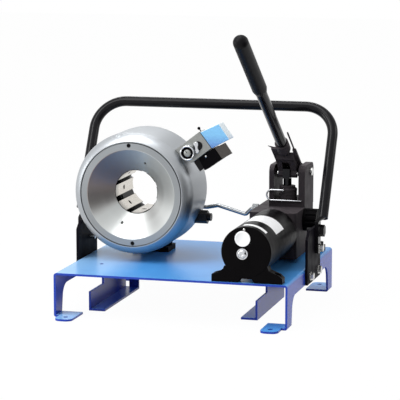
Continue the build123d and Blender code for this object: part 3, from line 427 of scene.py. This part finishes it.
def lathe(name, profile, origin, axis, mat, body, steps=64):
    """Turns a profile of (distance along the axis, radius) pairs round an axis. A radius of 0 closes an end."""
    axis = axis.normalized()
    side = axis.orthogonal().normalized()
    other = axis.cross(side)
    mesh = bmesh.new()
    rings = []
    for along, radius in profile:
        centre = origin + axis * along
        if radius < 1e-6:
            rings.append([mesh.verts.new(centre)] * (steps + 1))
            continue
        ring = [
            mesh.verts.new(centre + (side * math.cos(t) + other * math.sin(t)) * radius)
            for t in (2 * math.pi * k / steps for k in range(steps))
        ]
        rings.append(ring + ring[:1])
    for first, second in zip(rings, rings[1:]):
        for k in range(steps):
            corners = dict.fromkeys((first[k], second[k], second[k + 1], first[k + 1]))
            if len(corners) > 2:
                mesh.faces.new(tuple(corners))
    bmesh.ops.recalc_face_normals(mesh, faces=mesh.faces)
    return add_piece(name, mesh, mat, body)


# ---- blank labels on the pump ----
LABEL_GAP = 0.00005
LABEL_THICKNESS = 0.00035
LABEL_STEPS = 24
SHARP = math.radians(30)


def tube_label(name, y0, y1, from_deg, to_deg):
    """A thin foil wrapped on the reservoir tube. Angles run from the top towards the left."""
    mesh = bmesh.new()
    rows = []
    for radius in (PUMP_R + LABEL_GAP, PUMP_R + LABEL_GAP + LABEL_THICKNESS):
        for y in (y0, y1):
            turns = [
                math.radians(from_deg + (to_deg - from_deg) * k / LABEL_STEPS) for k in range(LABEL_STEPS + 1)
            ]
            rows.append([
                mesh.verts.new((PUMP.x - radius * math.sin(t), y, PUMP.z + radius * math.cos(t))) for t in turns
            ])
    inner_front, inner_back, outer_front, outer_back = rows
    skin(mesh, inner_front, inner_back)
    skin(mesh, inner_back, outer_back)
    skin(mesh, outer_back, outer_front)
    skin(mesh, outer_front, inner_front)
    for k in (0, LABEL_STEPS):
        mesh.faces.new((inner_front[k], inner_back[k], outer_back[k], outer_front[k]))
    bmesh.ops.recalc_face_normals(mesh, faces=mesh.faces)
    for edge in mesh.edges:
        edge.smooth = len(edge.link_faces) == 2 and edge.calc_face_angle(0.0) < SHARP
    add_piece(name, mesh, LABEL, "frame")


tube_label("reservoir_label", -0.132, -0.071, -60, 22)
tube_label("reservoir_strip", -0.1832, -0.170, -45, 12)

TOWARDS_FRONT = Vector((0.0, -1.0, 0.0))
PLATE_PROFILE = (
    (0.0, 0.0), (0.0, 0.0146), (0.0005, 0.0146), (0.0007, 0.0140), (0.0007, 0.0126), (0.0004, 0.0122), (0.0004, 0.0),
)
ROUND_HEAD_PROFILE = ((0.0, 0.0), (0.0, 0.0024), (0.0008, 0.0023), (0.0014, 0.0017), (0.0017, 0.0008), (0.0018, 0.0))
DOMED_NUT_PROFILE = (
    (0.0, 0.0), (0.0, 0.0086), (0.0012, 0.0088), (0.0030, 0.0080), (0.0042, 0.0062), (0.0046, 0.0038),
    (0.0040, 0.0032), (0.0032, 0.0),
)


def cap_trim():
    # Blank round plate, a small round-head screw above it and a domed nut on the filler plug.
    lathe("cap_plate", PLATE_PROFILE, Vector((0.1399, CAP_Y, 0.1658)), TOWARDS_FRONT, LABEL, "frame")
    lathe("cap_screw", ROUND_HEAD_PROFILE, Vector((0.1430, CAP_Y, 0.1832)), TOWARDS_FRONT, ZINC_PLATE, "frame", 24)
    plug_low, plug_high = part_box("filler_plug")
    plug = Vector(((plug_low[0] + plug_high[0]) / 2, plug_low[1], (plug_low[2] + plug_high[2]) / 2))
    lathe("filler_dome", DOMED_NUT_PROFILE, plug, TOWARDS_FRONT, CHROME, "frame", 6)


cap_trim()


# ---- crimp stop unit, in its own frame: u away from the head's axis, v across, both in millimetres ----
SEAT_R = 118.1
SADDLE_LOW = -6.0
BLOCK_TOP, BLOCK_LOW, BLOCK_END = 18.5, -20.5, 177.0
BLOCK_FRONT, BLOCK_BACK = -44.0, -4.0
DIAL_U, DIAL_V, DIAL_SEAT = 136.5, -1.0, -44.2
BAND_AT = 0.0092
INDEX_WIDTH, INDEX_LENGTH = 1.2, 6.0
WASHER_SHADOW_U, WASHER_SHADOW_V = 158.4, -1.4
THUMB_U, THUMB_V = 155.6, -2.9
THUMB_LEAN = math.radians(60.3)
THUMB_REACH = 6.45
LOBE_TURN = 138
SWITCH_OUTLINE = ((144.0, -20.7), (181.4, -22.4), (180.6, -48.6), (140.2, -46.8))
SWITCH_PLATE_OUTLINE = ((131.0, -20.7), (143.8, -20.7), (140.0, -42.2), (130.0, -42.6))
SWITCH_END_OUTLINE = ((181.9, -23.6), (203.7, -27.4), (202.6, -51.6), (181.1, -48.8))
COVER_OUTLINE = ((177.6, 16.8), (217.0, 8.6), (216.2, -27.4), (181.8, -21.9), (177.6, -21.0))
RIVET_PROFILE = ((0.0, 0.0), (0.0, 0.0022), (0.0006, 0.0019), (0.0009, 0.0))
RIM_PROFILE = (
    (0.0, 0.0), (0.0, 0.0116), (0.0060, 0.0120), (0.0084, 0.0139), (0.0126, 0.0144), (0.0138, 0.0138),
    (0.0140, 0.0126), (0.0134, 0.0116), (0.0118, 0.0112), (0.0092, 0.0110), (BAND_AT, 0.0),
)
BAND_PROFILE = ((BAND_AT, 0.0), (BAND_AT, 0.0109), (0.0096, 0.0109), (0.0096, 0.0))
CENTRE_PROFILE = ((0.0095, 0.0), (0.0095, 0.0070), (0.0124, 0.0068), (0.0131, 0.0060), (0.0133, 0.0))
WASHER_SHADOW_PROFILE = ((0.0, 0.0), (0.0, 0.0088), (0.0016, 0.0088), (0.0022, 0.0080), (0.0022, 0.0))


def stop_place(u, v, y):
    c, d = math.cos(STOP_ANGLE), math.sin(STOP_ANGLE)
    return Vector((HEAD.x + (u * c - v * d) / 1000.0, y / 1000.0, HEAD.z + (u * d + v * c) / 1000.0))


def prism(name, outline, y0, y1, mat, body, round_mm=0.6):
    """A solid with this outline between two depths, its edges rounded."""
    mesh = bmesh.new()
    front = [mesh.verts.new(stop_place(u, v, y0)) for u, v in outline]
    back = [mesh.verts.new(stop_place(u, v, y1)) for u, v in outline]
    mesh.faces.new(front)
    mesh.faces.new(back)
    skin(mesh, front + front[:1], back + back[:1])
    bmesh.ops.recalc_face_normals(mesh, faces=mesh.faces)
    made = add_piece(name, mesh, mat, body)
    edge = made.modifiers.new("rounded_edges", "BEVEL")
    edge.width = round_mm / 1000.0
    edge.segments = 3
    edge.limit_method = "ANGLE"
    edge.angle_limit = math.radians(35)
    edge.harden_normals = True
    return made


def arc(u, v, radius, start, end, steps):
    """Points on a circle, from one angle in degrees to another."""
    turns = [math.radians(start + (end - start) * k / steps) for k in range(steps + 1)]
    return [(u + radius * math.cos(t), v + radius * math.sin(t)) for t in turns]


def stop_housing():
    # A block whose saddle sits on the barrel, the switch under it and the pale cover on its far end.
    top = math.degrees(math.asin(BLOCK_TOP / SEAT_R))
    low = math.degrees(math.asin(SADDLE_LOW / SEAT_R))
    saddle = arc(0, 0, SEAT_R, top, low, 8)
    outline = saddle + [(129.0, BLOCK_LOW), (BLOCK_END, BLOCK_LOW), (BLOCK_END, BLOCK_TOP)]
    block = prism("stop_block_body", outline, BLOCK_FRONT, BLOCK_BACK, ZINC_CAST, "frame")
    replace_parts(block, "stop_block")
    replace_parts(prism("switch_body", SWITCH_OUTLINE, -42.5, -8.0, NYLON, "frame"), "switch_box")
    prism("switch_plate", SWITCH_PLATE_OUTLINE, -38.0, -10.0, BLACKENED, "frame", 0.4)
    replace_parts(prism("switch_end_body", SWITCH_END_OUTLINE, -41.5, -34.0, NYLON_BROWN, "frame"), "switch_end")
    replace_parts(prism("end_cover_body", COVER_OUTLINE, -43.4, -10.0, COVER_BLUE, "frame", 1.2), "end_cover")
    lathe(
        "switch_rivet", RIVET_PROFILE, stop_place(158.3, -26.7, -42.5), TOWARDS_FRONT, ZINC_PLATE, "frame", 20,
    )


def stop_dial():
    # Bright rolled rim, dark recessed band, plain centre with an index groove.
    seat = stop_place(DIAL_U, DIAL_V, DIAL_SEAT)
    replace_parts(lathe("dial_rim", RIM_PROFILE, seat, TOWARDS_FRONT, CHROME, "dial", 72), "stop_dial")
    lathe("dial_band", BAND_PROFILE, seat, TOWARDS_FRONT, NYLON, "dial", 48)
    lathe("dial_centre", CENTRE_PROFILE, seat, TOWARDS_FRONT, ZINC_CAST, "dial", 40)
    half = INDEX_WIDTH / 2
    index = (
        (DIAL_U - half, DIAL_V), (DIAL_U + half, DIAL_V),
        (DIAL_U + half, DIAL_V + INDEX_LENGTH), (DIAL_U - half, DIAL_V + INDEX_LENGTH),
    )
    prism("dial_index", index, -57.7, -56.5, NYLON, "dial", 0.1)


def locking_screw():
    # Two-lobed thumb head on a dark washer. The washer is set off to one side of the head, so that it also stands as
    # the head's painted shadow.
    lathe(
        "lock_washer_shadow", WASHER_SHADOW_PROFILE, stop_place(WASHER_SHADOW_U, WASHER_SHADOW_V, BLOCK_FRONT), TOWARDS_FRONT, BLACKENED,
        "frame", 40,
    )
    du, dv = math.cos(THUMB_LEAN) * THUMB_REACH, math.sin(THUMB_LEAN) * THUMB_REACH
    lobes = []
    for sign, radius in ((1.0, 4.8), (-1.0, 4.5)):
        facing = math.degrees(math.atan2(dv * sign, du * sign))
        centre = THUMB_U + du * sign, THUMB_V + dv * sign
        lobes += arc(*centre, radius, facing - LOBE_TURN, facing + LOBE_TURN, 16)
    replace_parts(prism("lock_thumb_head", lobes, -51.0, -46.0, CHROME, "frame", 1.2), "lock_screw")


stop_housing()
stop_dial()
locking_screw()

GLAND_R, GLAND_GROOVE_R, GLAND_BORE_R = 0.0166, 0.0160, 0.0150
GLAND_HEIGHT = 0.0250
GLAND_FOOT = Vector((0.1570, 0.103, 0.1915))


def plunger_gland():
    # Ribbed gland nut round the plunger sleeve.
    ribs = [(0.0, GLAND_BORE_R), (0.0, GLAND_R)]
    for k in range(5):
        step = 0.003 * k
        ribs += [
            (0.004 + step, GLAND_R), (0.005 + step, GLAND_GROOVE_R),
            (0.006 + step, GLAND_GROOVE_R), (0.0065 + step, GLAND_R),
        ]
    ribs += [(GLAND_HEIGHT - 0.0015, GLAND_R), (GLAND_HEIGHT, 0.0152), (GLAND_HEIGHT, GLAND_BORE_R)]
    lathe("plunger_gland", ribs, GLAND_FOOT, Vector((0.0, 0.0, 1.0)), CAST_ENAMEL, "frame", 56)


plunger_gland()


# ---- studio ----
PAPER_GLOW = 0.975
WORLD_LEVEL = 0.62
FLOOR_HALF = 8.0
# Each lamp: its name, its place, what it is aimed at, its width and height in metres, and its watts.
LAMPS = (
    ("key", (-1.4, -1.6, 2.2), (0.0, 0.0, 0.2), 1.2, 1.2, 30.0),
    ("fill", (2.0, 0.5, 1.3), (0.0, 0.0, 0.2), 0.8, 0.8, 7.0),
    ("left", (-1.5, -0.85, 0.45), (-0.1, -0.05, 0.2), 0.7, 0.5, 7.0),
    ("top", (-0.3, -0.5, 2.4), (0.0, 0.0, 0.2), 1.4, 1.4, 24.0),
    ("rim", (-0.6, 1.6, 2.2), (0.0, 0.1, 0.3), 1.8, 0.05, 8.0),
)
# Each card: its name, its centre, what it faces, its width and its height.
CARDS = (
    ("flag_right", (1.0, -0.55, 0.2), HEAD, 1.1, 1.0),
    ("flag_floor", (1.0, -0.35, 0.002), (1.0, -0.35, 1.0), 0.78, 1.1),
)


def seen_plainly(owner):
    """1 for camera, glossy and transmission rays, which all see the plain white background."""
    ray = node(owner, "ShaderNodeLightPath")
    most = (ray, "Is Camera Ray")
    for name in ("Is Glossy Ray", "Is Transmission Ray"):
        most = (node(owner, "ShaderNodeMath", {"operation": "MAXIMUM"}, i0=most, i1=(ray, name)), "Value")
    return most


def add_floor():
    # White studio paper. Straight looks see it almost plain white, and what is left keeps the shadow.
    mesh = bmesh.new()
    bmesh.ops.create_grid(mesh, x_segments=1, y_segments=1, size=FLOOR_HALF)
    mat = bpy.data.materials.new("studio_paper")
    mat.use_nodes = True
    mat.node_tree.nodes.clear()
    out = node(mat, "ShaderNodeOutputMaterial")
    paper = node(mat, "ShaderNodeBsdfDiffuse", Color=linear("#F4F4F4"))
    glow = node(mat, "ShaderNodeEmission", Color=(1.0, 1.0, 1.0, 1.0), Strength=1.0)
    share = node(mat, "ShaderNodeMath", {"operation": "MULTIPLY"}, i0=seen_plainly(mat), i1=PAPER_GLOW)
    mixed = node(mat, "ShaderNodeMixShader", i0=(share, "Value"), i1=(paper, "BSDF"), i2=(glow, "Emission"))
    link(mat, (mixed, "Shader"), out, "Surface")
    placed("floor", mesh, mat)


def add_world():
    world = bpy.data.worlds.new("studio")
    bpy.context.scene.world = world
    world.use_nodes = True
    background = world.node_tree.nodes["Background"]
    background.inputs["Color"].default_value = (1.0, 1.0, 1.0, 1.0)
    level = node(world, "ShaderNodeMapRange", Value=seen_plainly(world), To_Min=WORLD_LEVEL, To_Max=1.0)
    link(world, (level, "Result"), background, "Strength")


def add_lamp(name, place, aim, width, height, watts):
    data = bpy.data.lights.new(name, "AREA")
    data.shape = "RECTANGLE"
    data.size = width
    data.size_y = height
    data.energy = watts
    lamp = bpy.data.objects.new(name, data)
    bpy.context.scene.collection.objects.link(lamp)
    lamp.location = place
    lamp.rotation_euler = (Vector(aim) - Vector(place)).to_track_quat("-Z", "Y").to_euler()


def add_card(name, centre, toward, width, height):
    # A matt black card beside the set: it gives the bright metal something dark to reflect.
    centre = Vector(centre)
    out = (Vector(toward) - centre).normalized()
    side = Vector((0.0, 0.0, 1.0)).cross(out)
    side = side.normalized() if side.length > 0.01 else Vector((1.0, 0.0, 0.0))
    up = out.cross(side)
    mesh = bmesh.new()
    mesh.faces.new([
        mesh.verts.new(centre + side * (a * width / 2) + up * (b * height / 2))
        for a, b in ((-1, -1), (1, -1), (1, 1), (-1, 1))
    ])
    board, shader = new_material(name + "_board", 0.9)
    shader.inputs["Base Color"].default_value = linear("#0A0A0C")
    card = placed(name, mesh, board)
    card.visible_camera = False


add_floor()
add_world()
for lamp in LAMPS:
    add_lamp(*lamp)
for card in CARDS:
    add_card(*card)

bpy.context.scene.view_settings.view_transform = "Standard"
